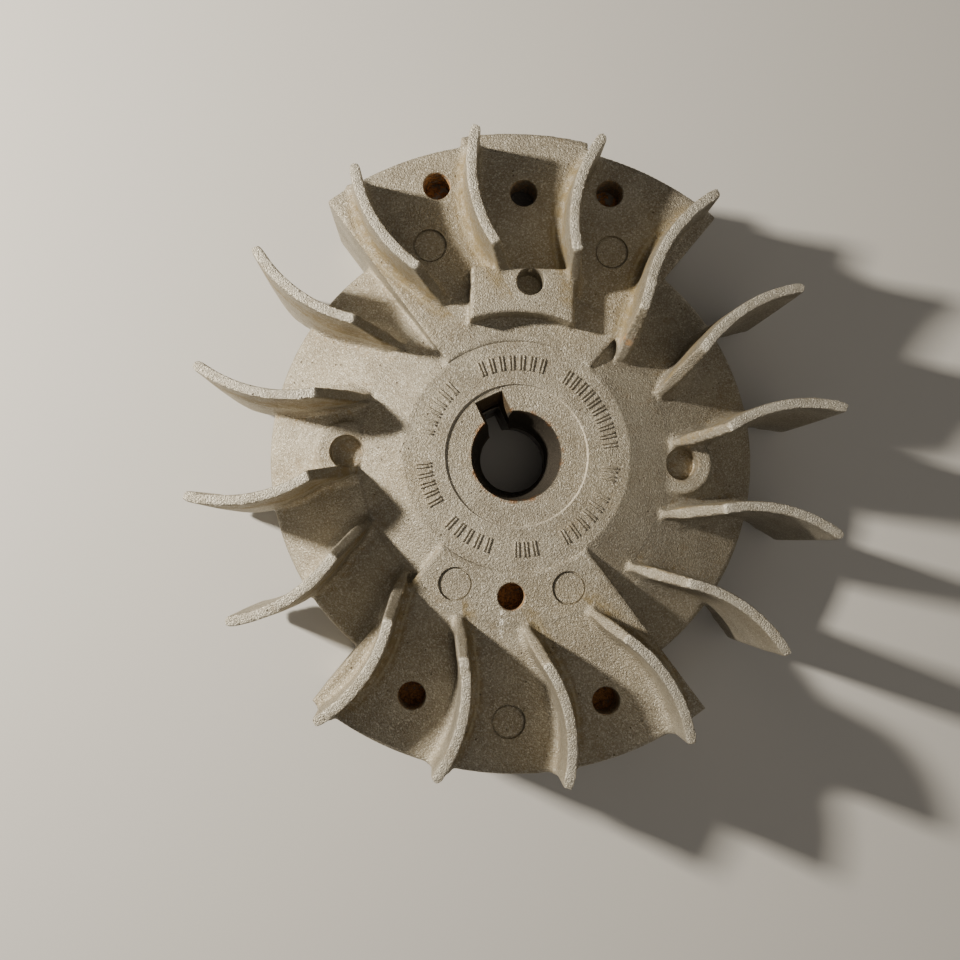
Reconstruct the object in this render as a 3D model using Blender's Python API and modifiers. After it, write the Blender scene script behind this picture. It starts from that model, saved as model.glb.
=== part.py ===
"""Fan flywheel of a small two-stroke engine.

A die-cast aluminium casting carries sixteen curved fan blades, a conical web and two thick
sectors. One sector holds the ignition magnet between two riveted stacks of steel laminations,
the other a steel counterweight. A steel insert with the crankshaft taper is cast into the hub.
The bore axis is Z. The fan side faces +Z and the engine side rests on Z = 0. The magnet
sector is centred on +Y. Lengths below are in millimetres, angles in degrees.
"""
from math import cos, degrees, radians, sin

import bmesh
import bpy
from mathutils import Matrix, Vector

MM = 0.001
GAP = 0.3                       # clearance that every cast-in piece keeps to its pocket
PAST = 1.0                      # how far a cutter reaches past the face it opens
MERGE = 0.00001                 # welding distance in metres

# Heights above the resting face
SECTOR_TOP = 24.0
HUB_RING_TOP = 23.7
WASHER_SEAT_TOP = 23.3
RIM_TOP = 15.5
RIM_BOTTOM = 11.2
WEB_BLADE_BOTTOM = 3.5          # the blades reach down past the rim, outside it
SECTOR_BLADE_BOTTOM = 22.0
BLADE_TOP = 33.5
PAD_TOP = 28.0
BOSS_TOP = 21.2

# Radii about the bore axis
WASHER_SEAT_R = 12.85
HUB_RING_R = 20.7
DISC_R = 45.5
RIM_CHAMFER = 0.9
HUB_BACK_R = 16.5
HUB_SHOULDER_R = 17.1           # the hub widens to this at HUB_SHOULDER_Z, then into the web
HUB_SHOULDER_Z = 10.0
HUB_FILLET = 2.5
RIM_WIDTH = 3.5
RIM_INNER_SLOPE = 1.5
MAGNET_SECTOR_R = 57.5
LOBE_R = 59.35
WEIGHT_SECTOR_R = 56.5
SECTOR_HALF_ANGLE = 38.3
LOBE_HALF_ANGLE = 11.5
LOBE_SHOULDER_ANGLE = 0.6       # width of the step down from the lobe
SECTOR_FOOT_OFFSET = 0.2        # the sectors' inner edges stand this far outside the hub ring
WEB_THICKNESS = 4.0
TURN_STEPS = 60
TRIM_STEPS = 96

# Bore: a nut recess in the casting above the tapered steel insert
RECESS_MOUTH_R = 8.05
RECESS_FLOOR_R = 6.4
INSERT_R = 11.0
INSERT_TOP = 13.0
TAPER_SMALL_R = 6.1
TAPER_LARGE_R = 7.4
KEYWAY_ANGLE = 117.0
KEYWAY_WIDTH = 4.0
KEYWAY_R = 10.3
KEYWAY_MOUTH_WIDTH = 5.1
KEYWAY_MOUTH_R = 12.0
KEYWAY_INNER_R = 3.0            # keyway cutters start inside the bore
INSERT_STEPS = 40
INSERT_EDGE = 0.5
TAPER_MOUTH = 0.3

# Fan blades
BLADE_COUNT = 16
FIRST_BLADE_ANGLE = 121.7
BLADE_TIP_R = 56.4
BLADE_ARC_INNER_R = 36.2
BLADE_ARC_INNER_SIDE = -0.6     # where the arc ends beside the tip's radial line
BLADE_ARC_POINTS = 8
BLADE_FOOT_R = 26.0
BLADE_BOW = 2.25                # how far the arc stands off its chord
BLADE_THICKNESS = 2.2
RAMP_SLOPE = 1.57               # rise over run of the blades' sloping inner ends
INNER_RUN_ANGLE = 20.0          # turn of the straight inner run from the radius
BOSS_RUN_ANGLE = 6.0            # the same on the two blades that pass beside the bosses
BLADE_SKIRT = [(45.0, 12.6), (46.5, 9.5), (49.0, 7.3), (51.5, 3.0), (51.5, 0.0)]
SECTOR_BLADES = {1, 2, 3, 9, 10, 11}
BOSS_BLADES = {6, 14}

# Pad between the second and third blades
PAD_HALF_WIDTH = 9.3
PAD_INNER_R = 25.2
PAD_OUTER_Y = 33.2

# Pockets under the sectors
POCKET_INNER_R = 21.5
POCKET_OUTER_R = 38.0
POCKET_WALL = 3.2
POCKET_TOP = 18.5
RIB_HALF_WIDTH = 7.5            # half of the rib that divides each sector's pocket

# Holes: (radius from the axis, angle)
CORE_PIN_R = 2.45
MAGNET_PINS = [(51.2, 108.0), (51.2, 72.0)]
MAGNET_CENTRE_PIN = (48.1, 90.0)
PAD_PIN = (30.8, 87.5)
WEIGHT_PINS = [(46.5, -112.2), (46.5, -68.6)]
WEIGHT_CENTRE_PIN = (25.3, -90.8)
EJECTOR_PIN_R = 3.0
EJECTOR_DEPTH = 0.5
EJECTOR_MARKS = [(41.2, 114.0), (41.2, 66.5), (25.5, -114.2), (25.5, -67.1), (47.3, -90.4)]
BOSS_R = 5.6
BOSS_HOLE_R = 2.95
BOSS_HOLE_DEPTH = 3.0
BOSS_BOTTOM = 18.4
BOSS_CENTRE_R = 30.8

# Ignition group
LAMINATION_COUNT = 7
LAMINATION_THICKNESS = 1.5
LAMINATION_PITCH = LAMINATION_THICKNESS + GAP
STACK_BOTTOM = 5.6
STACK_TOP = STACK_BOTTOM + LAMINATION_COUNT * LAMINATION_PITCH - GAP
SHOE_INNER_R = 43.5
SHOE_TAIL_R = 54.5
SHOE_NEAR_ANGLE = 5.2
SHOE_STEP_ANGLE = 10.6
SHOE_FAR_ANGLE = 22.0
RIVET_R = 1.3
RIVET_HEAD_R = 2.1
RIVET_HEAD_HEIGHT = 0.8
RIVET_CROWN_R = 1.47            # flat top of a head
RIVET_EDGE_HEIGHT = 0.32        # straight edge of a head
RIVET_STEPS = 10
RIVETS = {"inner": (47.2, 9.0), "outer": (47.6, 18.6)}
MAGNET_HALF_WIDTH = 3.6
MAGNET_SIDE_ROOM = 0.9          # reaches into the shoe pockets on both sides
MAGNET_INNER_Y = 44.0
MAGNET_OUTER_Y = 56.0

# Counterweight
WEIGHT_BOTTOM = 5.6
WEIGHT_TOP = 18.0
WEIGHT_INNER_R = 41.0
WEIGHT_OUTER_R = 52.0
WEIGHT_HALF_ANGLE = 27.0
WEIGHT_TONGUE_HALF_WIDTH = 4.5
WEIGHT_TONGUE_Y = 21.5


def clear_scene():
    for obj in list(bpy.data.objects):
        bpy.data.objects.remove(obj, do_unlink=True)


def new_collection(name):
    collection = bpy.data.collections.new(name)
    bpy.context.scene.collection.children.link(collection)
    return collection


def new_material(name, colour, roughness, metallic):
    material = bpy.data.materials.new(name)
    material.use_nodes = True
    shader = material.node_tree.nodes["Principled BSDF"]
    shader.inputs["Base Color"].default_value = (*colour, 1.0)
    shader.inputs["Roughness"].default_value = roughness
    shader.inputs["Metallic"].default_value = metallic
    return material


def polar(radius, angle):
    return Vector((radius * cos(radians(angle)), radius * sin(radians(angle))))


def arc(radius, start, end, count):
    """Points along an arc about the bore axis, both ends included."""
    return [polar(radius, start + (end - start) * i / (count - 1)) for i in range(count)]


def place_in(collection, obj):
    for owner in list(obj.users_collection):
        owner.objects.unlink(obj)
    collection.objects.link(obj)


def plate(name, outline, low, high):
    """A flat outline, filled and extruded between two heights, as a welded mesh."""
    curve = bpy.data.curves.new(name, "CURVE")
    curve.dimensions = "2D"
    curve.fill_mode = "BOTH"
    curve.extrude = (high - low) / 2 * MM
    spline = curve.splines.new("POLY")
    spline.points.add(len(outline) - 1)
    for point, (x, y) in zip(spline.points, outline):
        point.co = (x * MM, y * MM, 0.0, 1.0)
    spline.use_cyclic_u = True
    source = bpy.data.objects.new(name, curve)
    bpy.context.scene.collection.objects.link(source)
    source.location.z = (high + low) / 2 * MM
    bpy.context.view_layer.update()
    evaluated = source.evaluated_get(bpy.context.evaluated_depsgraph_get())
    mesh = bpy.data.meshes.new_from_object(evaluated)
    mesh.transform(source.matrix_world)
    bpy.data.objects.remove(source, do_unlink=True)
    weld(mesh)
    obj = bpy.data.objects.new(name, mesh)
    bpy.context.scene.collection.objects.link(obj)
    return obj


def weld(mesh):
    shape = bmesh.new()
    shape.from_mesh(mesh)
    bmesh.ops.remove_doubles(shape, verts=shape.verts, dist=MERGE)
    bmesh.ops.recalc_face_normals(shape, faces=shape.faces)
    shape.to_mesh(mesh)
    shape.free()


def turned(name, profile, steps):
    """A closed (radius, height) profile turned about Z with a Screw modifier."""
    mesh = bpy.data.meshes.new(name)
    points = [(r * MM, 0.0, z * MM) for r, z in profile]
    edges = [(i, (i + 1) % len(points)) for i in range(len(points))]
    mesh.from_pydata(points, edges, [])
    obj = bpy.data.objects.new(name, mesh)
    bpy.context.scene.collection.objects.link(obj)
    screw = obj.modifiers.new("Turn", "SCREW")
    screw.steps = steps
    screw.render_steps = steps
    screw.use_merge_vertices = True
    screw.merge_threshold = MERGE
    apply_modifiers(obj)
    return obj


def rod(name, centre, radius, low, high, sides=20, top_radius=None):
    """A cylinder or cone standing along Z."""
    bpy.ops.mesh.primitive_cone_add(
        vertices=sides,
        radius1=radius * MM,
        radius2=(radius if top_radius is None else top_radius) * MM,
        depth=(high - low) * MM,
        location=(centre[0] * MM, centre[1] * MM, (high + low) / 2 * MM),
    )
    obj = bpy.context.object
    obj.name = name
    apply_place(obj)
    return obj


def apply_place(obj):
    obj.data.transform(obj.matrix_world)
    obj.matrix_world = Matrix.Identity(4)


def apply_modifiers(obj):
    bpy.context.view_layer.update()
    evaluated = obj.evaluated_get(bpy.context.evaluated_depsgraph_get())
    mesh = bpy.data.meshes.new_from_object(evaluated)
    obj.modifiers.clear()
    old = obj.data
    obj.data = mesh
    bpy.data.meshes.remove(old)


def boolean(obj, tool, operation, tools):
    """Join a shape to obj, or cut it away, and put the shape with the other hidden tools."""
    modifier = obj.modifiers.new(tool.name, "BOOLEAN")
    modifier.operation = operation
    modifier.solver = "EXACT"
    modifier.object = tool
    place_in(tools, tool)
    tool.hide_render = True
    tool.display_type = "WIRE"


def join(obj, tool, tools):
    boolean(obj, tool, "UNION", tools)


def cut(obj, tool, tools):
    boolean(obj, tool, "DIFFERENCE", tools)


def finish(obj, collection, material, smooth_angle=32.0):
    apply_modifiers(obj)
    obj.data.materials.clear()
    obj.data.materials.append(material)
    obj.data.shade_smooth()
    obj.data.set_sharp_from_angle(angle=radians(smooth_angle))
    place_in(collection, obj)


def turn_about_bore(obj, angle):
    obj.data.transform(Matrix.Rotation(radians(angle), 4, "Z"))


def box(name, width, length_from, length_to, low, high, angle):
    """A block that reaches out from the bore axis along an angle."""
    half = width / 2
    outline = [(length_from, -half), (length_to, -half), (length_to, half), (length_from, half)]
    obj = plate(name, outline, low, high)
    turn_about_bore(obj, angle)
    return obj


# ---------------------------------------------------------------- casting

def cone_height(radius):
    """Height of the web's upper face at a radius."""
    fall = (HUB_RING_TOP - RIM_TOP) / (DISC_R - HUB_RING_R)
    return HUB_RING_TOP - (radius - HUB_RING_R) * fall


def disc_profile():
    web_inner_r = HUB_BACK_R + HUB_FILLET
    rim_inner_r = DISC_R - RIM_WIDTH
    web_outer_r = rim_inner_r - RIM_INNER_SLOPE
    pocket_top = INSERT_TOP + GAP
    return [
        (RECESS_MOUTH_R, WASHER_SEAT_TOP),
        (WASHER_SEAT_R, WASHER_SEAT_TOP),
        (WASHER_SEAT_R, HUB_RING_TOP),
        (HUB_RING_R, HUB_RING_TOP),
        (DISC_R - RIM_CHAMFER, cone_height(DISC_R - RIM_CHAMFER)),
        (DISC_R, cone_height(DISC_R) - RIM_CHAMFER),
        (DISC_R, RIM_BOTTOM),
        (rim_inner_r, RIM_BOTTOM),
        (web_outer_r, cone_height(web_outer_r) - WEB_THICKNESS),
        (web_inner_r, cone_height(web_inner_r) - WEB_THICKNESS),
        (HUB_SHOULDER_R, HUB_SHOULDER_Z),
        (HUB_BACK_R, 0.0),
        (INSERT_R + GAP, 0.0),
        (INSERT_R + GAP, pocket_top),
        (RECESS_FLOOR_R, pocket_top),
    ]


def sector_foot(centre_angle):
    """The sector's inner edge, which stands just outside the hub ring."""
    start = centre_angle - SECTOR_HALF_ANGLE
    return arc(HUB_RING_R + SECTOR_FOOT_OFFSET, start + 2 * SECTOR_HALF_ANGLE, start, 17)


def magnet_sector():
    """The sector with the lobe over the pole faces."""
    first = 90 - SECTOR_HALF_ANGLE
    last = 90 + SECTOR_HALF_ANGLE
    step = LOBE_HALF_ANGLE + LOBE_SHOULDER_ANGLE
    outline = arc(MAGNET_SECTOR_R, first, 90 - step, 10)
    outline += arc(LOBE_R, 90 - LOBE_HALF_ANGLE, 90 + LOBE_HALF_ANGLE, 11)
    outline += arc(MAGNET_SECTOR_R, 90 + step, last, 10)
    return plate("magnet_sector", outline + sector_foot(90.0), 0.0, SECTOR_TOP)


def weight_sector():
    first = -90 - SECTOR_HALF_ANGLE
    outline = arc(WEIGHT_SECTOR_R, first, first + 2 * SECTOR_HALF_ANGLE, 25)
    return plate("weight_sector", outline + sector_foot(-90.0), 0.0, SECTOR_TOP)


def half_pocket(name, middle_angle, side):
    """The hollow behind one half of a sector, between its side wall and the middle rib."""
    wall_out = SECTOR_HALF_ANGLE - degrees(POCKET_WALL / POCKET_OUTER_R)
    wall_in = SECTOR_HALF_ANGLE - degrees(POCKET_WALL / POCKET_INNER_R)
    rib_out = degrees(RIB_HALF_WIDTH / POCKET_OUTER_R)
    rib_in = degrees(RIB_HALF_WIDTH / POCKET_INNER_R)
    outer = arc(POCKET_OUTER_R, middle_angle + side * rib_out, middle_angle + side * wall_out, 7)
    inner = arc(POCKET_INNER_R, middle_angle + side * wall_in, middle_angle + side * rib_in, 4)
    return plate(name, outer + inner, -PAST, POCKET_TOP)


def blade_centreline(run_angle):
    """From the tip inwards: an arc about a centre on its clockwise side, then a straight run."""
    tip = Vector((BLADE_TIP_R, 0.0))
    inner = Vector((BLADE_ARC_INNER_R, BLADE_ARC_INNER_SIDE))
    chord = inner - tip
    radius = ((chord.length / 2) ** 2 + BLADE_BOW ** 2) / (2 * BLADE_BOW)
    inward = Vector((chord.y, -chord.x)).normalized()
    if inward.y > 0:
        inward = -inward
    centre = (tip + inner) / 2 + inward * (radius - BLADE_BOW)
    start = (tip - centre).angle_signed(Vector((1.0, 0.0)))
    end = (inner - centre).angle_signed(Vector((1.0, 0.0)))
    points = []
    for i in range(BLADE_ARC_POINTS):
        angle = start + (end - start) * i / (BLADE_ARC_POINTS - 1)
        points.append(centre + Vector((cos(angle), sin(angle))) * radius)
    heading = -polar(1.0, run_angle)
    run = (BLADE_ARC_INNER_R - BLADE_FOOT_R) / abs(heading.x)
    points.append(points[-1] + heading * run)
    return points


def blade_outline(run_angle):
    line = blade_centreline(run_angle)
    left = []
    right = []
    for i, point in enumerate(line):
        ahead = line[min(i + 1, len(line) - 1)]
        behind = line[max(i - 1, 0)]
        across = Vector((behind.y - ahead.y, ahead.x - behind.x)).normalized()
        left.append(point + across * BLADE_THICKNESS / 2)
        right.append(point - across * BLADE_THICKNESS / 2)
    return left + right[::-1]


def blade(number):
    """One blade on the +X axis, its inner end sloped and its foot kept within the web."""
    bottom = SECTOR_BLADE_BOTTOM if number in SECTOR_BLADES else WEB_BLADE_BOTTOM
    run_angle = BOSS_RUN_ANGLE if number in BOSS_BLADES else INNER_RUN_ANGLE
    obj = plate("blade_%02d" % number, blade_outline(run_angle), bottom, BLADE_TOP)
    low = BOSS_BOTTOM
    high = BLADE_TOP + PAST
    low_r = BLADE_ARC_INNER_R - (BLADE_TOP - low) / RAMP_SLOPE
    high_r = BLADE_ARC_INNER_R + PAST / RAMP_SLOPE
    trim(obj, rod("ramp_cone", (0.0, 0.0), low_r, low, high, TRIM_STEPS, high_r))
    trim(obj, turned("under_web", under_web_profile(), TRIM_STEPS))
    return obj


def under_web_profile():
    """The space under the web's middle plane and inside the blades' skirts."""
    middle = HUB_RING_TOP - WEB_THICKNESS / 2
    rim_inner_r = DISC_R - RIM_WIDTH
    return [
        (HUB_BACK_R, middle),
        (HUB_RING_R, middle),
        (rim_inner_r, cone_height(rim_inner_r) - WEB_THICKNESS / 2),
        *BLADE_SKIRT,
        (HUB_BACK_R, 0.0),
    ]


def trim(obj, tool):
    """Cut a shape away at once and throw the shape away."""
    modifier = obj.modifiers.new("Trim", "BOOLEAN")
    modifier.operation = "DIFFERENCE"
    modifier.solver = "EXACT"
    modifier.object = tool
    apply_modifiers(obj)
    bpy.data.objects.remove(tool, do_unlink=True)


def pad_outline():
    half_angle = degrees(PAD_HALF_WIDTH / PAD_INNER_R)
    inner = arc(PAD_INNER_R, 90 - half_angle, 90 + half_angle, 9)
    corner_left = Vector((-PAD_HALF_WIDTH, PAD_OUTER_Y))
    corner_right = Vector((PAD_HALF_WIDTH, PAD_OUTER_Y))
    return [corner_right] + inner + [corner_left]


def build_casting(model, tools, material):
    casting = turned("fan_casting", disc_profile(), TURN_STEPS)
    join(casting, magnet_sector(), tools)
    join(casting, weight_sector(), tools)
    join(casting, plate("pad", pad_outline(), SECTOR_TOP - PAST, PAD_TOP), tools)
    for side, angle in (("left", 180.0), ("right", 0.0)):
        boss = rod(side + "_boss", polar(BOSS_CENTRE_R, angle), BOSS_R, BOSS_BOTTOM, BOSS_TOP, 28)
        join(casting, boss, tools)

    for number in range(1, BLADE_COUNT + 1):
        fin = blade(number)
        turn_about_bore(fin, FIRST_BLADE_ANGLE - (number - 1) * 360.0 / BLADE_COUNT)
        join(casting, fin, tools)

    for middle_angle in (90.0, -90.0):
        for side in (-1, 1):
            name = "pocket_%d_%d" % (middle_angle, side)
            cut(casting, half_pocket(name, middle_angle, side), tools)
    cut_keyway(casting, tools)
    cut_magnet_pocket(casting, tools)
    cut_weight_pocket(casting, tools)
    cut_holes(casting, tools)
    finish(casting, model, material)
    return casting


def cut_keyway(casting, tools):
    mouth = box("keyway_mouth", KEYWAY_MOUTH_WIDTH, KEYWAY_INNER_R, KEYWAY_MOUTH_R,
                INSERT_TOP - PAST, WASHER_SEAT_TOP + PAST, KEYWAY_ANGLE)
    cut(casting, mouth, tools)


def shoe_outline(side, margin):
    """One pole shoe. Side is +1 or -1 from the sector's middle, margin grows the outline."""
    inner_margin = degrees(margin / SHOE_INNER_R)
    near = SHOE_NEAR_ANGLE - inner_margin
    step = SHOE_STEP_ANGLE + inner_margin
    far = SHOE_FAR_ANGLE + inner_margin
    reach = LOBE_R if margin == 0 else LOBE_R + PAST
    face = arc(reach, near, step, 4)
    tail = arc(SHOE_TAIL_R + margin, step, far, 4)
    back = arc(SHOE_INNER_R - margin, far, near, 6)
    outline = [Vector((p.y * side, p.x)) for p in face + tail + back]
    return outline if side < 0 else outline[::-1]


def rivet_place(side, name):
    radius, angle = RIVETS[name]
    return polar(radius, 90 - side * angle)


def cut_magnet_pocket(casting, tools):
    """Pockets for the shoes, open at the lobe's face, joined by the pocket of the magnet."""
    low = STACK_BOTTOM - GAP
    high = STACK_TOP + GAP
    for side, name in ((-1, "left"), (1, "right")):
        cut(casting, plate(name + "_shoe_pocket", shoe_outline(side, GAP), low, high), tools)
        head_space = RIVET_HEAD_HEIGHT + 2 * GAP
        for rivet in RIVETS:
            room = rod(name + "_" + rivet + "_rivet_room", rivet_place(side, rivet),
                       RIVET_HEAD_R + GAP, low - head_space, high + head_space, 16)
            cut(casting, room, tools)
    half = MAGNET_HALF_WIDTH + MAGNET_SIDE_ROOM
    outline = [(-half, MAGNET_INNER_Y - GAP), (half, MAGNET_INNER_Y - GAP),
               (half, MAGNET_OUTER_Y + GAP), (-half, MAGNET_OUTER_Y + GAP)]
    cut(casting, plate("magnet_pocket", outline, low, high), tools)


def weight_outline(margin):
    grow = degrees(margin / WEIGHT_INNER_R)
    half = WEIGHT_TONGUE_HALF_WIDTH + margin
    start = 90 - WEIGHT_HALF_ANGLE - grow
    end = 90 + WEIGHT_HALF_ANGLE + grow
    inner_r = WEIGHT_INNER_R - margin
    shoulder = degrees(half / inner_r)
    outer = arc(WEIGHT_OUTER_R + margin, start, end, 13)
    inner_left = arc(inner_r, end, 90 + shoulder, 5)
    inner_right = arc(inner_r, 90 - shoulder, start, 5)
    tongue = [Vector((-half, WEIGHT_TONGUE_Y - margin)), Vector((half, WEIGHT_TONGUE_Y - margin))]
    return [-p for p in outer + inner_left + tongue + inner_right]


def cut_weight_pocket(casting, tools):
    pocket = plate("weight_pocket", weight_outline(GAP), WEIGHT_BOTTOM - GAP, WEIGHT_TOP + GAP)
    cut(casting, pocket, tools)


def cut_holes(casting, tools):
    for number, (radius, angle) in enumerate(MAGNET_PINS + [MAGNET_CENTRE_PIN]):
        hole = rod("magnet_pin_hole_%d" % (number + 1), polar(radius, angle),
                   CORE_PIN_R, STACK_TOP, SECTOR_TOP + PAST)
        cut(casting, hole, tools)
    for number, (radius, angle) in enumerate(WEIGHT_PINS + [WEIGHT_CENTRE_PIN]):
        hole = rod("weight_pin_hole_%d" % (number + 1), polar(radius, angle),
                   CORE_PIN_R, WEIGHT_TOP, SECTOR_TOP + PAST)
        cut(casting, hole, tools)
    hole = rod("pad_pin_hole", polar(*PAD_PIN), CORE_PIN_R, POCKET_TOP - PAST, PAD_TOP + PAST)
    cut(casting, hole, tools)
    for number, (radius, angle) in enumerate(EJECTOR_MARKS):
        mark = rod("ejector_mark_%d" % (number + 1), polar(radius, angle),
                   EJECTOR_PIN_R, SECTOR_TOP - EJECTOR_DEPTH, SECTOR_TOP + PAST)
        cut(casting, mark, tools)
    for side, angle in (("left", 180.0), ("right", 0.0)):
        hole = rod(side + "_boss_hole", polar(BOSS_CENTRE_R, angle),
                   BOSS_HOLE_R, BOSS_TOP - BOSS_HOLE_DEPTH, BLADE_TOP + PAST)
        cut(casting, hole, tools)


# ---------------------------------------------------------------- cast-in pieces

def build_hub_insert(model, tools, material):
    profile = [
        (TAPER_SMALL_R + TAPER_MOUTH, INSERT_TOP),
        (INSERT_R - INSERT_EDGE, INSERT_TOP),
        (INSERT_R, INSERT_TOP - INSERT_EDGE),
        (INSERT_R, 0.0),
        (TAPER_LARGE_R, 0.0),
        (TAPER_SMALL_R, INSERT_TOP - TAPER_MOUTH),
    ]
    insert = turned("hub_insert", profile, INSERT_STEPS)
    slot = box("insert_keyway", KEYWAY_WIDTH, KEYWAY_INNER_R, KEYWAY_R, -PAST, INSERT_TOP + PAST,
               KEYWAY_ANGLE)
    cut(insert, slot, tools)
    finish(insert, model, material)


def build_laminations(model, tools, material):
    for side, name in ((-1, "left"), (1, "right")):
        for number in range(LAMINATION_COUNT):
            low = STACK_BOTTOM + number * LAMINATION_PITCH
            sheet = plate("%s_pole_lamination_%d" % (name, number + 1),
                          shoe_outline(side, 0.0), low, low + LAMINATION_THICKNESS)
            for rivet in RIVETS:
                hole = rod(sheet.name + "_" + rivet + "_hole", rivet_place(side, rivet),
                           RIVET_R + GAP, low - PAST, low + LAMINATION_THICKNESS + PAST, RIVET_STEPS)
                cut(sheet, hole, tools)
            finish(sheet, model, material)


def build_rivets(model, material):
    for side, name in ((-1, "left"), (1, "right")):
        for rivet in RIVETS:
            under = STACK_BOTTOM - GAP
            over = STACK_TOP + GAP
            profile = [
                (0.0, over + RIVET_HEAD_HEIGHT),
                (RIVET_CROWN_R, over + RIVET_HEAD_HEIGHT),
                (RIVET_HEAD_R, over + RIVET_EDGE_HEIGHT),
                (RIVET_HEAD_R, over),
                (RIVET_R, over),
                (RIVET_R, under),
                (RIVET_HEAD_R, under),
                (RIVET_HEAD_R, under - RIVET_EDGE_HEIGHT),
                (RIVET_CROWN_R, under - RIVET_HEAD_HEIGHT),
                (0.0, under - RIVET_HEAD_HEIGHT),
            ]
            obj = turned("%s_pole_rivet_%s" % (name, rivet), profile, RIVET_STEPS)
            centre = rivet_place(side, rivet)
            obj.data.transform(Matrix.Translation((centre.x * MM, centre.y * MM, 0.0)))
            weld(obj.data)
            finish(obj, model, material)


def build_magnet(model, material):
    half = MAGNET_HALF_WIDTH
    outline = [(-half, MAGNET_INNER_Y), (half, MAGNET_INNER_Y),
               (half, MAGNET_OUTER_Y), (-half, MAGNET_OUTER_Y)]
    finish(plate("ignition_magnet", outline, STACK_BOTTOM, STACK_TOP), model, material)


def build_counterweight(model, material):
    weight = plate("counterweight", weight_outline(0.0), WEIGHT_BOTTOM, WEIGHT_TOP)
    finish(weight, model, material)


clear_scene()
flywheel = new_collection("fan_flywheel")
hidden_tools = new_collection("tools")
aluminium = new_material("cast_aluminium", (0.42, 0.38, 0.32), 0.55, 0.85)
insert_steel = new_material("insert_steel", (0.16, 0.15, 0.14), 0.45, 1.0)
lamination_steel = new_material("lamination_steel", (0.30, 0.20, 0.13), 0.60, 0.8)
rivet_steel = new_material("rivet_steel", (0.35, 0.32, 0.29), 0.50, 0.9)
weight_steel = new_material("weight_steel", (0.32, 0.17, 0.08), 0.70, 0.6)
magnet_alloy = new_material("magnet_alloy", (0.12, 0.12, 0.12), 0.60, 0.5)

build_casting(flywheel, hidden_tools, aluminium)
build_hub_insert(flywheel, hidden_tools, insert_steel)
build_laminations(flywheel, hidden_tools, lamination_steel)
build_rivets(flywheel, rivet_steel)
build_magnet(flywheel, magnet_alloy)
build_counterweight(flywheel, weight_steel)
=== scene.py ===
"""Looks for the fan flywheel of a small engine: a die-cast aluminium fan with its cast-in steel.

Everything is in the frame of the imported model, in metres: the bore axis is Z, the fan side faces
up, and the sector that holds the ignition magnet is centred on +Y. Sizes below are written in
millimetres and angles in degrees.
"""
from math import asin, atan2, cos, degrees, hypot, radians, sin, sqrt, tan

import bpy
from mathutils import Matrix, Vector


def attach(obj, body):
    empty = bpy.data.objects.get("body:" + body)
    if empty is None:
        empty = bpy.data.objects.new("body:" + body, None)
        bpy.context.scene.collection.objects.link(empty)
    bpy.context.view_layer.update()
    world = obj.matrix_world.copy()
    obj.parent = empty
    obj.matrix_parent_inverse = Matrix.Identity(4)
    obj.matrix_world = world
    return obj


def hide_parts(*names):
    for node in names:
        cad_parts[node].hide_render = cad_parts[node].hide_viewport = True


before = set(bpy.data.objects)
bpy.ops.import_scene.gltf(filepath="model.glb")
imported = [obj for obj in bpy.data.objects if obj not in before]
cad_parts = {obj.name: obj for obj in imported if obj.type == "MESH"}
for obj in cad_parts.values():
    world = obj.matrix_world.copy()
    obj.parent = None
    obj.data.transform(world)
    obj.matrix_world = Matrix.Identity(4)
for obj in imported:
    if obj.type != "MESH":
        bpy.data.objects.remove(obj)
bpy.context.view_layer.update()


# ---- Hub insert -------------------------------------------------------------------------------
# A turned steel bush that the aluminium is cast round. It carries the crankshaft's taper, small
# end up, and a milled keyway. Its lower face is ground flush with the hub's back.

MM = 0.001
WELD = 0.000004                 # distance in metres at which doubled corners are merged
INSERT_TAPER = [(7.5, -0.02), (7.2, 0.25), (6.12, 12.7), (6.4, 13.0)]
INSERT_OUTSIDE = [(10.6, 13.0), (11.0, 12.6), (11.0, 0.35), (10.7, -0.02)]
KEYWAY_ANGLE = 117.0
KEYWAY_WIDTH = 4.0
KEYWAY_R = 10.3
KEYWAY_INNER_R = 3.0            # keyway cutters start inside the bore


def deselect():
    bpy.ops.object.select_all(action="DESELECT")


def pick(piece):
    """Select one piece alone and make it the active one."""
    deselect()
    piece.select_set(True)
    bpy.context.view_layer.objects.active = piece


def settle(piece):
    """Put a piece's place, turn and scale into its mesh."""
    pick(piece)
    bpy.ops.object.transform_apply(location=True, rotation=True, scale=True)
    return piece


def close_up():
    """Finish an edit: every face selected, with its normal pointing outwards."""
    bpy.ops.mesh.select_all(action="SELECT")
    bpy.ops.mesh.normals_make_consistent(inside=False)
    bpy.ops.object.mode_set(mode="OBJECT")


def grow_ring(name, stations, sides):
    """Extrude a circle from one (radius, height) station to the next, and back to the first."""
    deselect()
    bpy.ops.mesh.primitive_circle_add(vertices=sides, radius=stations[0][0] * MM,
                                      location=(0, 0, stations[0][1] * MM))
    piece = bpy.context.object
    piece.name = name
    bpy.ops.object.mode_set(mode="EDIT")
    bpy.ops.mesh.select_all(action="SELECT")
    for (r, z), (next_r, next_z) in zip(stations, stations[1:] + stations[:1]):
        rise = (0, 0, (next_z - z) * MM)
        bpy.ops.mesh.extrude_edges_move(TRANSFORM_OT_translate={"value": rise})
        bpy.ops.transform.resize(value=(next_r / r, next_r / r, 1), center_override=(0, 0, 0))
    bpy.ops.mesh.select_all(action="SELECT")
    bpy.ops.mesh.remove_doubles(threshold=WELD)
    close_up()
    return settle(piece)


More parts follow.
